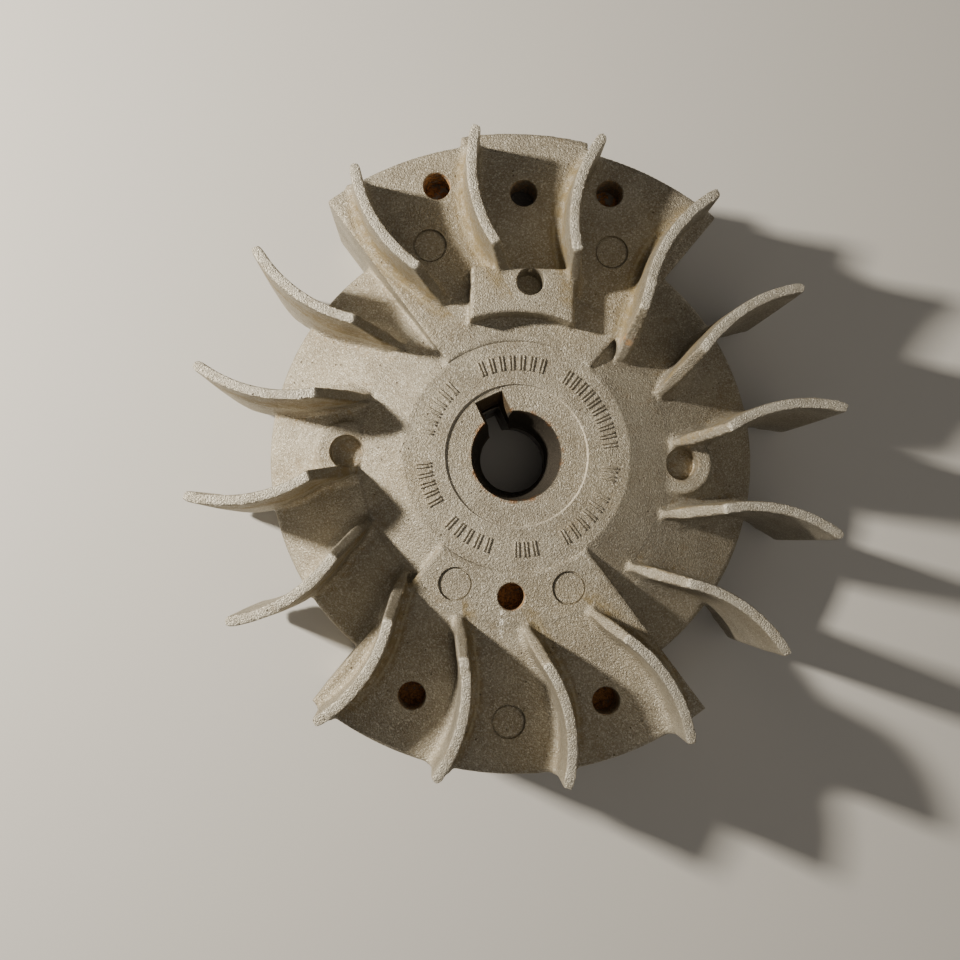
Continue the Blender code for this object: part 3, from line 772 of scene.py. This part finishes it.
# ---- Fan casting: finish ----------------------------------------------------------------------
# Bare cast aluminium, blasted once and since dulled in use: fine grain with painted light on its
# crests, painted shade in its grooves and painted glints, paler blade tops with a painted highlight
# where they turn down, a painted dark reflection on the sloping ramps, a yellow-brown film in the
# blades' roots with a painted highlight along its toe, rust weeping from the core-pin holes, the
# bore coloured near-black with turning rings, and a painted highlight on the washer seat's edge.


FILM_ARC_MIDDLE_R = 46.25       # middle and half length of the blades' arcs, as the film follows them
FILM_ARC_HALF = 10.05
FILM_ARC_LEAN = 0.03
PIN_RUST = (1.0, 0.5, 0.45, 0.8, 0.4, 0.9)
RUST_SPOT = (19.2, 21.1)        # a rust spot on the hub beside a blade's foot
SMEAR_X = -2.0


def away_from(f, place):
    """Distance in millimetres from an upright line through a place."""
    return ((f.x - place[0]) ** 2 + (f.y - place[1]) ** 2) ** 0.5


def across_blades(f):
    """Distance from the nearest blade's middle line, counter-clockwise positive."""
    run = (BLADE_KINK_R - f.r).biggest(0.0)
    along = (f.r - FILM_ARC_MIDDLE_R) / FILM_ARC_HALF
    bow = (1.0 - along * along) * BLADE_BOW
    side = (f.r - BLADE_KINK_R) * FILM_ARC_LEAN + BLADE_KINK_SIDE
    inside, outside = (BLADE_KINK_R - 0.1, BLADE_KINK_R + 0.1)
    curve = f.r.fade(inside, outside) * (bow + side)
    curve = curve + f.r.fade(outside, inside) * (BLADE_KINK_SIDE - run * tan(radians(RUN_ANGLE)))
    pitch = 360 / BLADE_COUNT
    sweep = f.angle - FIRST_BLADE_ANGLE - curve / f.r * degrees(1) + 360.0 + pitch / 2
    return (sweep.math("MODULO", pitch) - pitch / 2) * f.r * radians(1)


def grain_with_painted_light(f, cloud, grain):
    """Cloudy grey grain, with painted light on its crests, painted shade in its fine grooves, and painted
    glints on scattered facets.
    """
    coarse = f.noise(0.045, 3.0, 0.5)
    # Painted glints: scattered cells pushed towards near-white.
    painted_glint = f.node("SeparateColor", {}, {0: f.cells(4.2, "Color")}, "Red").fade(0.76, 0.96)
    base = f.mix(cloud.fade(0.3, 0.7), rgb(0.315, 0.285, 0.232), rgb(0.43, 0.40, 0.335))
    base = f.mix(coarse.fade(0.4, 0.7) * 0.5, base, rgb(0.39, 0.34, 0.245))
    # Paler crests and darker grooves follow the bump's grain: painted light and painted shade on its
    # relief.
    base = f.mix(grain.fade(0.5, 0.68) * 0.42, base, rgb(0.66, 0.625, 0.54))
    base = f.mix(grain.fade(0.48, 0.32) * 0.34, base, rgb(0.18, 0.155, 0.11))
    return f.mix(painted_glint * 0.3, base, rgb(0.90, 0.885, 0.83)), painted_glint


def blade_tops_and_painted_light(f, base, patch, top):
    """Paler tops, a painted highlight where a top turns down into its ramp, and a painted dark reflection
    on the ramp.
    """
    base = f.mix(top * (patch.fade(0.3, 0.6) * 0.4 + 0.2), base, rgb(0.66, 0.64, 0.58))
    # Painted highlight where a top turns down into its ramp.
    kink = top * (f.r - BLADE_KINK_R - 0.6).size().fade(1.1, 0.3)
    base = f.mix(kink * 0.45, base, rgb(0.72, 0.69, 0.61))
    # Painted dark reflection along the sloping ramp's surface.
    ramp = (f.r - (f.z - BLADE_TOP) / RAMP_SLOPE - BLADE_KINK_R).size().fade(0.5, 0.2)
    return f.mix(ramp * f.z.fade(33.2, 32.6) * 0.35, base, rgb(0.24, 0.225, 0.19))


def root_film_and_toe_highlight(f, base, patch):
    """The brown film left beside the blades' roots, a painted highlight along the fillets' outer toe, and
    brown streaks.
    """
    offset = across_blades(f)
    root = offset.fade(0.6, 0.95) * offset.fade(4.2, 2.3) * f.r.fade(57.0, 54.0) * f.r.fade(26.5, 29.0)
    on_sector = f.z.fade(23.0, 23.8) * f.z.fade(33.2, 26.0)
    film = root * on_sector * (patch.fade(0.38, 0.6) * 0.75 + 0.25)
    base = f.mix(film * 0.75, base, rgb(0.26, 0.20, 0.095))
    # A painted highlight along the root fillet's outer toe.
    toe_highlight = offset.fade(2.15, 2.45) * offset.fade(3.0, 2.6) * f.z.fade(23.0, 23.8)
    toe_highlight = toe_highlight * f.z.fade(26.5, 24.5) * f.r.fade(55.0, 50.0) * f.r.fade(28.0, 31.0)
    base = f.mix(toe_highlight * patch.fade(0.3, 0.6) * 0.4, base, rgb(0.66, 0.61, 0.48))
    streak = f.noise(1.4, 3.0, 0.6, (0.5, 0.5, 1.0)).fade(0.5, 0.7)
    return f.mix(root * streak * 0.5, base, rgb(0.27, 0.20, 0.095)), film


def hole_rust(f, base, patch):
    """Rust in the core-pin holes, a dried bright smear below one, and film round the pawl holes."""
    weep = away_from(f, RUST_SPOT).fade(1.5, 0.5) * f.z.fade(20.0, 22.0) * patch.fade(0.35, 0.55) * 0.8
    for place, amount in zip(MAGNET_PINS + WEIGHT_PINS, PIN_RUST):
        near = away_from(f, polar(*place)).fade(2.5, 2.44) * f.z.fade(24.02, 23.8)
        weep = weep.biggest(near * f.z.fade(15.0, 17.0) * amount)
    mottle = f.noise(1.1, 4.0, 0.65)
    rust_tone = f.mix(mottle.fade(0.42, 0.6), rgb(0.10, 0.052, 0.024), rgb(0.56, 0.32, 0.13))
    base = f.mix(weep * mottle.fade(0.34, 0.5), base, rust_tone)
    smear = (f.x - SMEAR_X).size().fade(0.5, 0.2) * f.y.fade(-33.0, -32.4) * f.y.fade(-27.2, -27.8)
    smear = smear * f.z.fade(23.6, 23.9) * mottle.fade(0.5, 0.56)
    base = f.mix(smear * 0.8, base, rgb(0.92, 0.90, 0.84))
    for angle in BOSS_ANGLES:
        ring = away_from(f, polar(BOSS_CENTRE_R, angle)).fade(4.2, 2.6)
        dull = ring * f.z.fade(16.5, 18.0) * patch.fade(0.42, 0.6)
        base = f.mix(dull * 0.4, base, rgb(0.33, 0.245, 0.13))
    return base, weep


def bore_and_seat_highlight(f, base, patch):
    """The bore coloured near-black with turning rings, the rust at its lip, the keyway, and a painted
    highlight on the washer seat's edge.
    """
    rings = f.noise(1.0, 2.0, 0.6, (0.25, 0.25, 8.0))
    bore_tone = f.mix(rings, rgb(0.05, 0.044, 0.037), rgb(0.14, 0.125, 0.105))
    base = f.mix(f.r.fade(8.35, 8.1), base, bore_tone)
    keyway = f.r.fade(12.3, 11.9) * f.z.fade(23.2, 22.9) * f.r.fade(8.0, 8.3)
    base = f.mix(keyway * 0.8, base, rgb(0.15, 0.095, 0.045))
    lip = (f.r - 8.3).size().fade(0.55, 0.15) * f.z.fade(22.0, 22.9) * patch.fade(0.45, 0.6)
    base = f.mix(lip * 0.6, base, rgb(0.32, 0.15, 0.05))
    # Painted highlight along the washer seat's edge.
    seat_edge_highlight = (f.r - 12.9).size().fade(0.22, 0.08) * f.z.fade(23.0, 23.2)
    return f.mix(seat_edge_highlight * 0.5, base, rgb(0.70, 0.66, 0.58))


def cast_aluminium():
    f = Finish("cast_aluminium_finish")
    cloud = f.noise(0.16, 4.0, 0.6)
    patch = f.noise(0.5, 4.0, 0.62)
    grain = f.noise(3.4, 2.0, 0.6)
    top = f.z.fade(33.15, 33.4)
    base, painted_glint = grain_with_painted_light(f, cloud, grain)
    base = blade_tops_and_painted_light(f, base, patch, top)
    base, film = root_film_and_toe_highlight(f, base, patch)
    base, weep = hole_rust(f, base, patch)
    pits = f.cells(0.7).fade(0.15, 0.07) * f.noise(0.25, 2.0).fade(0.5, 0.6)
    base = f.mix(pits * 0.8, base, rgb(0.085, 0.06, 0.035))
    stain = f.noise(0.21, 5.0, 0.7).fade(0.57, 0.7)
    base = f.mix(stain * 0.4, base, rgb(0.22, 0.165, 0.09))
    base = bore_and_seat_highlight(f, base, patch)
    rough = 0.55 + grain * 0.1 + film * 0.12 - top * 0.06 + weep * 0.3 - painted_glint * 0.08
    metal = 0.85 - film * 0.3 - weep * 0.8 - pits * 0.6 - stain * 0.25
    height = f.noise(8.0, 2.0, 0.6) * 0.6 + grain * 1.5 + patch * 0.5 - pits * 1.2
    return f.show(base, rough, metal, height, 0.14)


aluminium_finish = cast_aluminium()
for piece in (casting, ring_marks):
    piece.data.materials.clear()
    piece.data.materials.append(aluminium_finish)
    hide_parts("fan_casting")
    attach(piece, "root")


# ---- Table, lights and camera -----------------------------------------------------------------
# The flywheel lies fan side up on a pale plain table. A soft lamp stands to the upper left and
# the room fills the shadows. The camera looks almost straight down.

deselect()
bpy.ops.mesh.primitive_plane_add(size=4.0, location=(0, 0, -0.0002))
table = bpy.context.object
table.name = "table"
table_finish = Finish("pale_table", 0.7)
table_finish.shader.inputs["Base Color"].default_value = rgb(0.60, 0.60, 0.60)
table.data.materials.append(table_finish.material)


def lamp(name, place, size, power, colour):
    """A square lamp turned to face the hub."""
    light = bpy.data.lights.new(name, "AREA")
    light.size = size
    light.energy = power
    light.color = colour
    stand = bpy.data.objects.new(name, light)
    bpy.context.scene.collection.objects.link(stand)
    stand.location = place
    stand.rotation_euler = Vector(place).to_track_quat("Z", "Y").to_euler()


lamp("window_lamp", (-0.363, 0.103, 0.2455), 0.032, 4.15, (1.0, 0.905, 0.745))
lamp("room_lamp", (0.25, -0.2, 0.8), 0.9, 1.1, (1.0, 0.90, 0.76))
world = bpy.data.worlds.new("room")
world.use_nodes = True
world.node_tree.nodes["Background"].inputs["Color"].default_value = rgb(1.0, 0.92, 0.80)
world.node_tree.nodes["Background"].inputs["Strength"].default_value = 0.09
bpy.context.scene.world = world

camera_data = bpy.data.cameras.new("camera")
camera_data.lens = 36.0
camera_data.sensor_width = 36.0
camera_data.clip_start = 0.01
camera = bpy.data.objects.new("camera", camera_data)
bpy.context.scene.collection.objects.link(camera)
camera.location = (-0.01373, -0.01462, 0.1955)
roll, pitch, yaw = (Matrix.Rotation(radians(1.7), 3, "Z"), Matrix.Rotation(0.057, 3, "X"),
                    Matrix.Rotation(-0.0436, 3, "Y"))
camera.rotation_euler = (roll @ pitch @ yaw).to_euler()
bpy.context.scene.camera = camera
